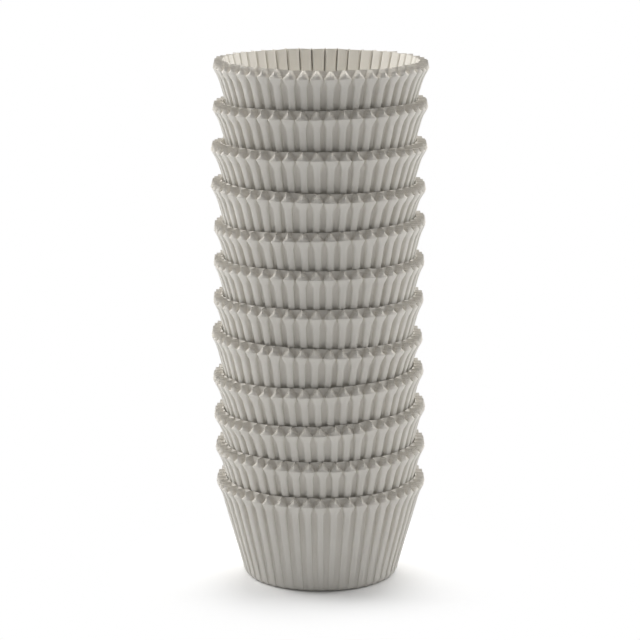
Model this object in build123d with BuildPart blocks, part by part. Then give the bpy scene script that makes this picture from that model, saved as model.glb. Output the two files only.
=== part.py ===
"""A stack of pleated paper cupcake liners, standing as bought: twelve tight nests, base down.

A nest is about twenty-five thin liners pressed into one another, and is one solid.  Its cut
edges step up from the outermost liner to the innermost and make the bevelled rim.  Each nest
is dropped into the one below until its pleats wedge at that rim, a little askew.
Origin: centre of the underside of the lowest nest.  Millimetres and degrees, +Z up.
"""
from build123d import *
from math import cos, degrees, radians, sin, tan
import os

# Pleats round the wall, each with one ridge and one valley
PLEATS = 48

# Heights of a nest, from its underside
FLOOR_THICKNESS = 1.2     # the flat bottoms of its liners, pressed together
KNEE_HEIGHT = 3.0         # rounded turn from floor to wall
WALL_HEIGHT = 32.0        # up to the edge of the outermost liner
LIP_HEIGHT = 3.0          # band below that edge where the pleats flare
BEVEL_RISE = 2.6          # from the outermost liner's edge to the innermost's

# Radii to the pleat ridges
BASE_RADIUS = 25.0
KNEE_SPREAD = 1.9         # gained round the knee
WALL_ANGLE = 16.0         # slope of the wall from upright
LIP_SPREAD = 1.55         # gained in the lip
BEVEL_LEAN = 0.65         # given back by the ridges over the bevel

# Depth of the valleys below the ridges
BASE_PLEAT_DEPTH = 0.15
KNEE_PLEAT_DEPTH = 0.5
NECK_PLEAT_DEPTH = 1.95
RIM_PLEAT_DEPTH = 2.3

# Widths, as shares of one pleat, of the flat ridges and the flat valleys
WALL_RIDGE_SHARE = 0.52
WALL_VALLEY_SHARE = 0.42
RIM_RIDGE_SHARE = 0.86    # at the rim the ridges open out and nearly close the valleys
RIM_VALLEY_SHARE = 0.09

# Thickness of the pressed liners, and of what is left of it at the top of the bevel
WALL_THICKNESS = 1.05
EDGE_THICKNESS = 0.15
SLIT_SHARE = 0.2          # mouth of the folds that show inside, as a share of one pleat

# How the nests seat in one another
SEAT_CLEARANCE = 0.1

# Each nest: slack above its tightest seat, lean (its right side up), nod (its far side up),
# drift to the right, and turn of its first ridge
NESTS = [
    (0.00, 0.0, 0.0, 0.00, 0.1),
    (0.65, 0.5, 0.5, -0.10, 1.2),
    (0.40, 2.1, 0.5, -0.10, -0.1),
    (0.70, 1.9, 0.0, -0.05, -0.4),
    (1.25, -1.4, -0.1, 0.00, -0.8),
    (0.80, 0.0, -0.5, 0.20, -1.4),
    (0.95, 0.3, -0.5, 0.25, -1.5),
    (0.75, 1.6, -0.5, 0.15, -1.2),
    (1.00, -0.8, -0.3, 0.00, -1.1),
    (1.35, 0.3, -0.7, 0.15, -1.3),
    (1.85, 0.7, 0.0, 0.45, -2.6),
    (1.50, -0.3, 0.6, 0.30, -2.1),
]

neck_height = WALL_HEIGHT - LIP_HEIGHT
edge_height = WALL_HEIGHT + BEVEL_RISE
knee_radius = BASE_RADIUS + KNEE_SPREAD
wall_slope = tan(radians(WALL_ANGLE))
neck_radius = knee_radius + (neck_height - KNEE_HEIGHT) * wall_slope
rim_radius = neck_radius + LIP_SPREAD
pleat_angle = 360 / PLEATS

# Inside, the lobes between the slits run straight from the knee to the innermost edge
lobe_knee_radius = knee_radius - KNEE_PLEAT_DEPTH - WALL_THICKNESS
lobe_neck_radius = neck_radius - NECK_PLEAT_DEPTH - WALL_THICKNESS
lobe_slope = (lobe_neck_radius - lobe_knee_radius) / (neck_height - KNEE_HEIGHT)
lobe_edge_radius = lobe_neck_radius + (edge_height - neck_height) * lobe_slope
slit_edge_radius = rim_radius - BEVEL_LEAN


def pleated_outline(ridge_radius, ridge_angle, valley_radius, valley_angle):
    """Corners of a pleated ring, pleat by pleat; a flat with no angle is a single corner."""
    corners = []
    for pleat in range(PLEATS):
        middle = pleat * pleat_angle - 90
        for radius, centre, width in (
            (ridge_radius, middle, ridge_angle),
            (valley_radius, middle + pleat_angle / 2, valley_angle),
        ):
            sides = (-width / 2, width / 2) if width else (0,)
            for side in sides:
                angle = radians(centre + side)
                corners.append((radius * cos(angle), radius * sin(angle)))
    return corners


def ring_sketch(height, outline):
    """One closed level of the nest, for the lofts."""
    with BuildSketch(Plane.XY.offset(height)) as ring:
        with BuildLine():
            Polyline(*outline, close=True)
        make_face()
    return ring.sketch


def wall_outline(ridge_radius, depth):
    """Level of the outside below the lip, where ridges and valleys are about as wide."""
    return pleated_outline(ridge_radius, WALL_RIDGE_SHARE * pleat_angle,
                           ridge_radius - depth, WALL_VALLEY_SHARE * pleat_angle)


def outside_levels():
    """Underside, knee, neck, outermost edge and innermost edge."""
    edge_angle = degrees(EDGE_THICKNESS / slit_edge_radius)
    lobe_angle = (1 - SLIT_SHARE) * pleat_angle - 2 * degrees(EDGE_THICKNESS / lobe_edge_radius)
    return [
        (0, wall_outline(BASE_RADIUS, BASE_PLEAT_DEPTH)),
        (KNEE_HEIGHT, wall_outline(knee_radius, KNEE_PLEAT_DEPTH)),
        (neck_height, wall_outline(neck_radius, NECK_PLEAT_DEPTH)),
        (WALL_HEIGHT, pleated_outline(rim_radius, RIM_RIDGE_SHARE * pleat_angle,
                                      rim_radius - RIM_PLEAT_DEPTH, RIM_VALLEY_SHARE * pleat_angle)),
        (edge_height, pleated_outline(slit_edge_radius + EDGE_THICKNESS, 2 * edge_angle,
                                      lobe_edge_radius + EDGE_THICKNESS, lobe_angle)),
    ]


def inside_levels():
    """Floor, knee and innermost edge of the hollow, with a slit behind each ridge."""
    lobe_angle = (1 - SLIT_SHARE) * pleat_angle
    floor_radius = BASE_RADIUS - WALL_THICKNESS
    return [
        (FLOOR_THICKNESS, pleated_outline(floor_radius, 0,
                                          floor_radius - BASE_PLEAT_DEPTH, lobe_angle)),
        (KNEE_HEIGHT, pleated_outline(knee_radius - WALL_THICKNESS, 0, lobe_knee_radius, lobe_angle)),
        (edge_height, pleated_outline(slit_edge_radius, 0, lobe_edge_radius, lobe_angle)),
    ]


def make_nest():
    """One nest, upright on the origin."""
    with BuildPart() as nest:
        for height, outline in outside_levels():
            add(ring_sketch(height, outline))
        loft(ruled=True)
        for height, outline in inside_levels():
            add(ring_sketch(height, outline))
        loft(ruled=True, mode=Mode.SUBTRACT)
    return nest.part


def seat_rise():
    """Least rise of a nest over the one below, with its ridges clear of that one's lobes."""
    ridges = [(0, BASE_RADIUS), (KNEE_HEIGHT, knee_radius), (neck_height, neck_radius)]
    lobes = [(KNEE_HEIGHT, lobe_knee_radius), (edge_height, lobe_edge_radius)]
    rises = [height - height_at(ridges, radius - SEAT_CLEARANCE) for height, radius in lobes]
    rises += [height_at(lobes, radius + SEAT_CLEARANCE) - height for height, radius in ridges[:2]]
    return max(rises)


def height_at(profile, radius):
    """Height at which a widening profile of (height, radius) reaches a radius."""
    for (low, small), (high, large) in zip(profile, profile[1:]):
        if radius <= large:
            break
    return low + (radius - small) * (high - low) / (large - small)


def seat_nests():
    """Place of each nest.  A nest that leans slides sideways in its wedge to stay clear."""
    places = []
    x = y = z = 0
    lean_below = nod_below = 0
    for slack, lean, nod, drift, turn in NESTS:
        lean_now, nod_now = radians(lean), radians(nod)
        if places:
            rise = seat_rise() + slack
            slide = lobe_edge_radius * wall_slope
            sunk = edge_height - rise
            x += sunk * lean_now - edge_height * lean_below + slide * (lean_now - lean_below) + drift
            y += sunk * nod_now - edge_height * nod_below + slide * (nod_now - nod_below)
            z += rise
        places.append(Location((x, y, z), (nod, -lean, turn)))
        lean_below, nod_below = lean_now, nod_now
    return places


os.makedirs("parts", exist_ok=True)
shape = make_nest()
for number, place in enumerate(seat_nests(), start=1):
    with BuildPart() as liner_nest:
        with Locations(place):
            add(shape)
    liner_nest.part.label = f"liner_nest_{number:02d}"
    export_step(liner_nest.part, f"parts/liner_nest_{number:02d}.step")
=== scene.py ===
"""Looks of a stack of cupcake liners: twelve tight nests of pleated greaseproof paper.

Each nest is one closed mesh, made upright and then carried to where its CAD node sits.  From the
outside in it is a pleated wall, a bevel where the liners' cut edges step up from the outermost
liner to the innermost, and the folded inside with its flat floor.
"""
import math
import random

import bmesh
import bpy
import numpy as np
from mathutils import Matrix, Vector


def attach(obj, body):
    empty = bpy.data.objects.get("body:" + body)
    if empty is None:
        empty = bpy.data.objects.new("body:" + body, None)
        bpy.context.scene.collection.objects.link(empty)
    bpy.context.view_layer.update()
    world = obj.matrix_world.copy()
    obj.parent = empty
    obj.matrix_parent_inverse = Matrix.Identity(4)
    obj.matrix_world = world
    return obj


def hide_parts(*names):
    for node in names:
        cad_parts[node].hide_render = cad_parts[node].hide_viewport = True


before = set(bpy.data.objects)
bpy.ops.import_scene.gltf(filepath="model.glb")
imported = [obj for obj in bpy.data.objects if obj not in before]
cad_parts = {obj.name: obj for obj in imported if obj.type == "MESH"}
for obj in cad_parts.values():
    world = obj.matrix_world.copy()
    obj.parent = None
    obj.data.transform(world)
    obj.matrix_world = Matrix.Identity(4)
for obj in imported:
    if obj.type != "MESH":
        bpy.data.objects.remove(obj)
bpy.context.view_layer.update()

MM = 0.001
PLEATS = 48
PLEAT = 2 * math.pi / PLEATS

# Heights in a nest, from its underside
FLOOR = 1.2 * MM
KNEE = 3.0 * MM
NECK = 29.0 * MM
RIM = 32.0 * MM

# Depth of the valleys below the ridges
BASE_DEPTH = 0.12 * MM
KNEE_DEPTH = 0.45 * MM
NECK_DEPTH = 1.95 * MM
RIM_DEPTH = 2.3 * MM

# Widths as shares of a pleat
WALL_RIDGE, WALL_VALLEY = 0.52, 0.40
RIM_RIDGE, RIM_VALLEY = 0.86, 0.09

WALL_THICKNESS = 1.05 * MM
CUT_EDGES = 12            # visible steps in the bevel; each stands for two liners
SEAT_ROOM = 0.08 * MM     # taken off the ridges that sit inside the nest below
FOOT_TUCK = 0.45 * MM     # how far the flat underside ends inside the base
OPEN_LEVELS, HIDDEN_LEVELS = 14, 5    # levels of the inside: top nest, and nests that hold another
SAME_LEVEL = 0.01 * MM    # CAD corners closer in height than this are on one level
CREASE = math.radians(50)             # edges sharper than this are shaded as creases

# Where each set of rings sits, as shares of its height
FOOT_LEVELS = (0.0, 0.25, 0.5, 0.75)
WALL_LEVELS = (0.0, 0.12, 0.3, 0.5, 0.7, 0.86, 0.95)
LIP_LEVELS = (0.1, 0.35, 0.6, 0.82, 1.0)

# How far each rim has spread or drawn in, lowest nest first
RIM_SPREAD = [s * MM for s in (-0.1, 0.0, 0.2, 0.1, 0.0, -0.25, -0.25, -0.15, 0.35, 0.45, 0.3, 0.25)]

# Camera: a long lens aimed at the middle of the stack
CAMERA_DISTANCE = 847.3 * MM
CAMERA_TILT = math.radians(11.68)
CAMERA_AIM = Vector((-0.2, 0.0, 88.17)) * MM
LENS = 140.36

# Softboxes: place, size and power.  The camera's side of the stack is left to the fill.
SOFTBOXES = {
    "left softbox": ((-0.75, 0.25, 0.7), (0.6, 0.8), 7.2),
    "right softbox": ((0.75, 0.2, 0.6), (0.6, 0.8), 3.9),
    "top softbox": ((0.1, 0.5, 1.0), (0.9, 0.9), 10),
}
SOFTBOX_AIM = (0, 0, 0.09)
FILL = 0.2                      # strength of the even light from all round
SHADOW_REACH = (0.024, 0.075)   # metres from the stack's axis over which the floor fades to white
FLOOR_HALF = 3.0

# Half a pleat, from the middle of its ridge to the middle of its valley: how far along each
# corner is, given the widths of ridge and valley, and how deep it is as a share of the depth
WALL_CORNERS = [
    (lambda ridge, valley: 0.0, 0.0),
    (lambda ridge, valley: 0.28 * ridge, 0.015),
    (lambda ridge, valley: 0.45 * ridge, 0.07),
    (lambda ridge, valley: 0.53 * ridge, 0.24),
    (lambda ridge, valley: 0.25 * (1 + ridge - valley), 0.55),
    (lambda ridge, valley: 0.5 - 0.54 * valley, 0.86),
    (lambda ridge, valley: 0.5 - 0.35 * valley, 0.97),
    (lambda ridge, valley: 0.5, 1.0),
]
FOLD_CORNERS = [(0.0, 0.0), (0.025, 0.3), (0.045, 0.6), (0.07, 0.86), (0.1, 0.95), (0.17, 0.985),
                (0.32, 0.997), (0.5, 1.0)]
HALF = len(FOLD_CORNERS) - 1
CORNERS = 2 * HALF        # corners round one pleat


def blend(a, b, t):
    return a + (b - a) * t


def ease(t):
    return t * t * (3 - 2 * t)


def local_shape(node):
    """Where a nest's CAD solid sits, as a matrix, and its radii and height.

    The solid is as wide one way across as the other and less tall, so its axis is the
    direction in which its surface spreads least.  Its slits give the turn of its pleats.
    """
    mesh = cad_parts[node].data
    points = np.array([vertex.co for vertex in mesh.vertices])
    triangles = np.array([face.vertices[:] for face in mesh.polygons])
    a, b, c = (points[triangles[:, corner]] for corner in range(3))
    area = np.linalg.norm(np.cross(b - a, c - a), axis=1)[:, None]
    middle = (a + b + c) / 3
    centre = (middle * area).sum(0) / area.sum()
    spread = ((middle - centre) * area).T @ (middle - centre)
    axis = np.linalg.eigh(spread)[1][:, 0]
    axis = axis if axis[2] > 0 else -axis
    across = np.array([1.0, 0.0, 0.0]) - axis * axis[0]
    across /= np.linalg.norm(across)
    turned = np.array([across, np.cross(axis, across), axis])
    flat = (points - centre) @ turned.T
    base = centre + axis * flat[:, 2].min()
    radius = np.hypot(flat[:, 0], flat[:, 1])
    height = flat[:, 2] - flat[:, 2].min()
    edge = height > height.max() - SAME_LEVEL
    slits = edge & (radius > (radius[edge].min() + radius[edge].max()) / 2)
    angle = np.arctan2(flat[slits, 1], flat[slits, 0])
    turn = np.angle(np.exp(1j * PLEATS * angle).sum()) / PLEATS
    place = Matrix.Translation(Vector(base)) @ Matrix(turned.T.tolist()).to_4x4()
    place = place @ Matrix.Rotation(turn, 4, "Z")
    return place, {
        "base": radius[height < SAME_LEVEL].max(),
        "knee": radius[abs(height - KNEE) < SAME_LEVEL].max(),
        "neck": radius[abs(height - NECK) < SAME_LEVEL].max(),
        "rim": radius.max(),
        "slit": radius[edge].max(),
        "lobe": radius[edge].min(),
        "edge": height.max(),
    }


class Wobble:
    """The small unevenness of one nest: seeded, and the same at every level of a pleat."""

    def __init__(self, seed):
        chance = random.Random(seed)
        self.sway = [chance.gauss(0, 0.045) for _ in range(PLEATS)]
        self.sink = [abs(chance.gauss(0, 0.07)) * MM for _ in range(PLEATS)]
        self.lift = [chance.gauss(0, 0.09) * MM for _ in range(PLEATS)]
        self.waves = [(n, chance.uniform(0, 2 * math.pi), chance.uniform(0.03, 0.09) * MM)
                      for n in (2, 3, 5)]
        self.sheets = [(chance.uniform(0, 2 * math.pi), chance.uniform(-0.05, 0.05) * MM)
                       for _ in range(CUT_EDGES + 1)]

    def along(self, values, position):
        """A value kept per pleat, eased from one pleat to the next."""
        pleat = math.floor(position)
        here, following = values[pleat % PLEATS], values[(pleat + 1) % PLEATS]
        return blend(here, following, ease(position - pleat))

    def wave(self, angle):
        """How far out of round the nest is at an angle."""
        return sum(size * math.cos(n * angle + phase) for n, phase, size in self.waves)


def wall_ring(height, ridge, depth, ridge_share, valley_share):
    """One level of the outside: (share of a pleat, radius, height) for half a pleat."""
    return [(along(ridge_share, valley_share), ridge - deep * depth, height)
            for along, deep in WALL_CORNERS]


def fold_ring(height, slit, lobe):
    """One level of the inside, where wide lobes nearly meet in front of each slit."""
    return [(along, blend(slit, lobe, deep), height) for along, deep in FOLD_CORNERS]


def between(low, high, t, height):
    """A ring part of the way from one to another, at a height of its own."""
    return [(blend(a[0], b[0], t), blend(a[1], b[1], t), height) for a, b in zip(low, high)]


def outside_rings(size, spread):
    """Underside to rim: a tight rounded foot, a soft knee, a straight wall and a flared lip."""
    rings = []
    foot = size["base"] - FOOT_TUCK
    for t in FOOT_LEVELS:
        turn = t * math.pi / 2
        ridge = blend(foot, size["knee"], 0.75 * math.sin(turn) + 0.25 * t)
        rings.append(wall_ring(KNEE * (1 - math.cos(turn)), ridge,
                               blend(BASE_DEPTH, KNEE_DEPTH, t), WALL_RIDGE, WALL_VALLEY))
    for t in WALL_LEVELS:
        ridge = blend(size["knee"], size["neck"], t) - SEAT_ROOM + spread * 0.5 * t ** 4
        rings.append(wall_ring(blend(KNEE, NECK, t), ridge,
                               blend(KNEE_DEPTH, NECK_DEPTH, t), WALL_RIDGE, WALL_VALLEY))
    for t in LIP_LEVELS:
        ridge = blend(size["neck"], size["rim"], t) + spread * blend(0.5, 1, t)
        rings.append(wall_ring(blend(NECK, RIM, t), ridge, blend(NECK_DEPTH, RIM_DEPTH, t),
                               blend(WALL_RIDGE, RIM_RIDGE, ease(t)),
                               blend(WALL_VALLEY, RIM_VALLEY, ease(t))))
    return rings


def bevel_rings(size, rim, spread):
    """The liners' cut edges, one small ledge and riser each, outermost to innermost."""
    edge = fold_ring(size["edge"], size["slit"] + spread * 0.6, size["lobe"] + max(spread, 0) * 0.4)
    rings = []
    for cut in range(CUT_EDGES):
        low, high = cut / CUT_EDGES, (cut + 1) / CUT_EDGES
        rings.append(between(rim, edge, high, blend(RIM, size["edge"], low)))
        rings.append(between(rim, edge, high, blend(RIM, size["edge"], high)))
    return rings


def inside_rings(size, levels):
    """Innermost edge down to the floor."""
    knee_slit = size["knee"] - WALL_THICKNESS
    knee_lobe = size["knee"] - KNEE_DEPTH - WALL_THICKNESS
    rings = []
    for level in range(1, levels + 1):
        t = level / levels
        rings.append(fold_ring(blend(size["edge"], KNEE, t), blend(size["slit"], knee_slit, t),
                               blend(size["lobe"], knee_lobe, t)))
    floor = size["base"] - WALL_THICKNESS
    rings.append(fold_ring(FLOOR * 1.3, floor + 0.6 * MM, floor + 0.35 * MM))
    rings.append(fold_ring(FLOOR, floor, floor - BASE_DEPTH))
    return rings


def ring_points(ring, wobble, sheet=None):
    """All the corners of a level, right round the nest.  A cut edge also has a sheet's own shift."""
    points = []
    for pleat in range(PLEATS):
        for corner in range(CORNERS):
            half = corner if corner <= HALF else CORNERS - corner
            share, radius, height = ring[half]
            position = pleat + (share if corner <= HALF else 1 - share)
            angle = position * PLEAT
            up = min(height / RIM, 1.0)           # the unevenness grows from the base to the rim
            angle += wobble.along(wobble.sway, position) * PLEAT * (0.4 + 0.6 * up)
            radius += wobble.wave(angle) * up - wobble.along(wobble.sink, position) * up
            if height > NECK:
                rise = (height - NECK) / (RIM - NECK)
                height += wobble.along(wobble.lift, position) * min(rise, 1.0)
            if sheet is not None:
                phase, shift = wobble.sheets[sheet]
                height += shift * math.sin(2 * angle + phase)
                radius += 0.5 * shift * math.sin(3 * angle - phase)
            points.append((radius * math.cos(angle), radius * math.sin(angle), height))
    return points


def extrude_to(bm, loop, order, points, slot):
    """Draws the open edge loop on to the next level, and gives the loop there."""
    made = bmesh.ops.extrude_edge_only(bm, edges=loop)["geom"]
    for part in made:
        if isinstance(part, bmesh.types.BMVert):
            part.co = points[part[order]]
        elif isinstance(part, bmesh.types.BMFace):
            part.material_index = slot
            part.smooth = True
    fresh = {part for part in made if isinstance(part, bmesh.types.BMVert)}
    return [part for part in made if isinstance(part, bmesh.types.BMEdge)
            and part.verts[0] in fresh and part.verts[1] in fresh]


def make_nest(name, number, materials, inside_levels):
    """One nest, drawn level by level from its underside over the rim to its floor."""
    place, size = local_shape(name)
    wobble = Wobble(100 + number)
    spread = RIM_SPREAD[number - 1]
    outside = outside_rings(size, spread)
    bevel = bevel_rings(size, outside[-1], spread)
    inside = inside_rings(size, inside_levels)

    bm = bmesh.new()
    order = bm.verts.layers.int.new("order")
    start = ring_points(outside[0], wobble)
    verts = bmesh.ops.create_circle(bm, segments=PLEATS * CORNERS, radius=size["base"])["verts"]
    for index, (vert, point) in enumerate(zip(verts, start)):
        vert[order] = index
        vert.co = point
    loop = list(bm.edges)
    bmesh.ops.edgeloop_fill(bm, edges=loop)
    for ring in outside[1:]:
        loop = extrude_to(bm, loop, order, ring_points(ring, wobble), 0)
    for step, ring in enumerate(bevel):
        loop = extrude_to(bm, loop, order, ring_points(ring, wobble, step // 2 + 1), 1)
    for ring in inside:
        loop = extrude_to(bm, loop, order, ring_points(ring, wobble), 0)
    bmesh.ops.edgeloop_fill(bm, edges=loop)
    bmesh.ops.recalc_face_normals(bm, faces=bm.faces)
    bmesh.ops.transform(bm, matrix=place, verts=bm.verts)

    mesh = bpy.data.meshes.new(name + "_paper")
    bm.to_mesh(mesh)
    bm.free()
    mesh.set_sharp_from_angle(angle=CREASE)
    for material in materials:
        mesh.materials.append(material)
    nest = bpy.data.objects.new(name + "_paper", mesh)
    bpy.context.scene.collection.objects.link(nest)
    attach(nest, "root")
    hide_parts(name)
    return nest


def linear(code):
    """An sRGB hex colour as linear RGBA."""
    parts = [int(code[i:i + 2], 16) / 255 for i in (1, 3, 5)]
    return [c / 12.92 if c <= 0.04045 else ((c + 0.055) / 1.055) ** 2.4 for c in parts] + [1.0]


def add_node(tree, kind, inputs=None, **settings):
    """Adds a node, sets it up, and fills its sockets with values or links."""
    node = tree.nodes.new(kind)
    for key, value in settings.items():
        setattr(node, key, value)
    for key, value in (inputs or {}).items():
        if isinstance(value, bpy.types.NodeSocket):
            tree.links.new(value, node.inputs[key])
        else:
            node.inputs[key].default_value = value
    return node


def per_mm(size):
    """Noise scale, in Object coordinates, for features of a size in millimetres."""
    return 1 / (size * MM)


def new_material(name):
    material = bpy.data.materials.new(name)
    material.use_nodes = True
    tree = material.node_tree
    tree.nodes.clear()
    return material, tree


def greaseproof_paper():
    """Bleached greaseproof paper, hot-pressed into pleats: matte, faintly cloudy, with fine
    fibres that run up the wall where the die has drawn them."""
    material, tree = new_material("greaseproof paper, pressed in pleats")
    where = add_node(tree, "ShaderNodeTexCoord").outputs["Object"]
    clouds = add_node(tree, "ShaderNodeTexNoise", {"Vector": where, "Scale": per_mm(7), "Detail": 3.0})
    drawn = add_node(tree, "ShaderNodeMapping", {"Vector": where, "Scale": (1, 1, 0.12)})
    fibres = add_node(tree, "ShaderNodeTexNoise",
                      {"Vector": drawn.outputs[0], "Scale": per_mm(0.6), "Detail": 4.0})
    tone = add_node(tree, "ShaderNodeMix", {0: clouds.outputs[0], 6: linear("#e9e6df"),
                                            7: linear("#e2ded6")}, data_type="RGBA")
    bump = add_node(tree, "ShaderNodeBump", {"Height": fibres.outputs[0], "Strength": 0.25,
                                             "Distance": 0.05 * MM})
    skin = add_node(tree, "ShaderNodeBsdfPrincipled",
                    {"Base Color": tone.outputs[2], "Roughness": 0.62, "IOR": 1.45,
                     "Specular IOR Level": 0.3, "Normal": bump.outputs[0]})
    add_node(tree, "ShaderNodeOutputMaterial", {"Surface": skin.outputs[0]})
    return material


def cut_edges():
    """The die-cut edges of the stacked sheets: a little brighter and rougher than the faces."""
    material, tree = new_material("greaseproof paper, cut edges")
    where = add_node(tree, "ShaderNodeTexCoord").outputs["Object"]
    nicks = add_node(tree, "ShaderNodeTexNoise", {"Vector": where, "Scale": per_mm(1.4), "Detail": 5.0})
    tone = add_node(tree, "ShaderNodeMix", {0: nicks.outputs[0], 6: linear("#efece6"),
                                            7: linear("#dcd7ce")}, data_type="RGBA")
    bump = add_node(tree, "ShaderNodeBump", {"Height": nicks.outputs[0], "Strength": 0.5,
                                             "Distance": 0.1 * MM})
    skin = add_node(tree, "ShaderNodeBsdfPrincipled",
                    {"Base Color": tone.outputs[2], "Roughness": 0.75, "IOR": 1.45,
                     "Specular IOR Level": 0.25, "Normal": bump.outputs[0]})
    add_node(tree, "ShaderNodeOutputMaterial", {"Surface": skin.outputs[0]})
    return material


def set_camera():
    """A long lens, a little above the stack and looking slightly down."""
    camera = bpy.data.objects.new("camera", bpy.data.cameras.new("camera"))
    camera.data.lens = LENS
    camera.data.sensor_width = 36
    back = Vector((0, -math.cos(CAMERA_TILT), math.sin(CAMERA_TILT)))
    camera.location = CAMERA_AIM + CAMERA_DISTANCE * back
    camera.rotation_euler = (math.pi / 2 - CAMERA_TILT, 0, 0)
    bpy.context.scene.collection.objects.link(camera)
    bpy.context.scene.camera = camera


def add_softbox(name, place, size, power):
    """A large soft lamp turned towards the stack."""
    light = bpy.data.lights.new(name, "AREA")
    light.shape = "RECTANGLE"
    light.size, light.size_y = size
    light.energy = power
    lamp = bpy.data.objects.new(name, light)
    lamp.location = place
    lamp.rotation_euler = (Vector(SOFTBOX_AIM) - Vector(place)).to_track_quat("-Z", "Y").to_euler()
    bpy.context.scene.collection.objects.link(lamp)


def plain_floor():
    """White paper sweep.  It keeps the stack's shadow near by and runs out to plain white."""
    material, tree = new_material("matte white sweep")
    seen = add_node(tree, "ShaderNodeLightPath").outputs["Is Camera Ray"]
    tone = add_node(tree, "ShaderNodeMix", {0: seen, 6: linear("#dcdcdc"), 7: (1, 1, 1, 1)},
                    data_type="RGBA")
    skin = add_node(tree, "ShaderNodeBsdfDiffuse", {"Color": tone.outputs[2]})
    white = add_node(tree, "ShaderNodeEmission", {"Color": (1, 1, 1, 1), "Strength": 1.0})
    where = add_node(tree, "ShaderNodeTexCoord").outputs["Object"]
    reach = add_node(tree, "ShaderNodeVectorMath", {0: where}, operation="LENGTH").outputs["Value"]
    far = add_node(tree, "ShaderNodeMapRange",
                   {"Value": reach, "From Min": SHADOW_REACH[0], "From Max": SHADOW_REACH[1]},
                   interpolation_type="SMOOTHSTEP")
    fade = add_node(tree, "ShaderNodeMath", {0: far.outputs[0], 1: seen}, operation="MULTIPLY")
    sweep = add_node(tree, "ShaderNodeMixShader", {0: fade.outputs[0], 1: skin.outputs[0],
                                                   2: white.outputs[0]})
    add_node(tree, "ShaderNodeOutputMaterial", {"Surface": sweep.outputs[0]})
    bm = bmesh.new()
    bmesh.ops.create_grid(bm, x_segments=1, y_segments=1, size=FLOOR_HALF)
    mesh = bpy.data.meshes.new("floor")
    bm.to_mesh(mesh)
    bm.free()
    mesh.materials.append(material)
    floor = bpy.data.objects.new("floor", mesh)
    bpy.context.scene.collection.objects.link(floor)


def soft_world():
    """Even studio light from all round; the camera and glossy rays see plain white."""
    world = bpy.data.worlds.new("studio")
    world.use_nodes = True
    tree = world.node_tree
    tree.nodes.clear()
    rays = add_node(tree, "ShaderNodeLightPath").outputs
    seen = add_node(tree, "ShaderNodeMath", {0: rays["Is Camera Ray"], 1: rays["Is Glossy Ray"]},
                    operation="MAXIMUM")
    strength = add_node(tree, "ShaderNodeMix", {0: seen.outputs[0], 2: FILL, 3: 1.0})
    light = add_node(tree, "ShaderNodeBackground",
                     {"Color": (1, 1, 1, 1), "Strength": strength.outputs[0]})
    add_node(tree, "ShaderNodeOutputWorld", {"Surface": light.outputs[0]})
    bpy.context.scene.world = world


bpy.context.scene.view_settings.view_transform = "Standard"
set_camera()
papers = (greaseproof_paper(), cut_edges())
nests = sorted(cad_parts)
for number, node in enumerate(nests, start=1):
    make_nest(node, number, papers, OPEN_LEVELS if node == nests[-1] else HIDDEN_LEVELS)
plain_floor()
soft_world()
for name, (place, size, power) in SOFTBOXES.items():
    add_softbox(name, place, size, power)
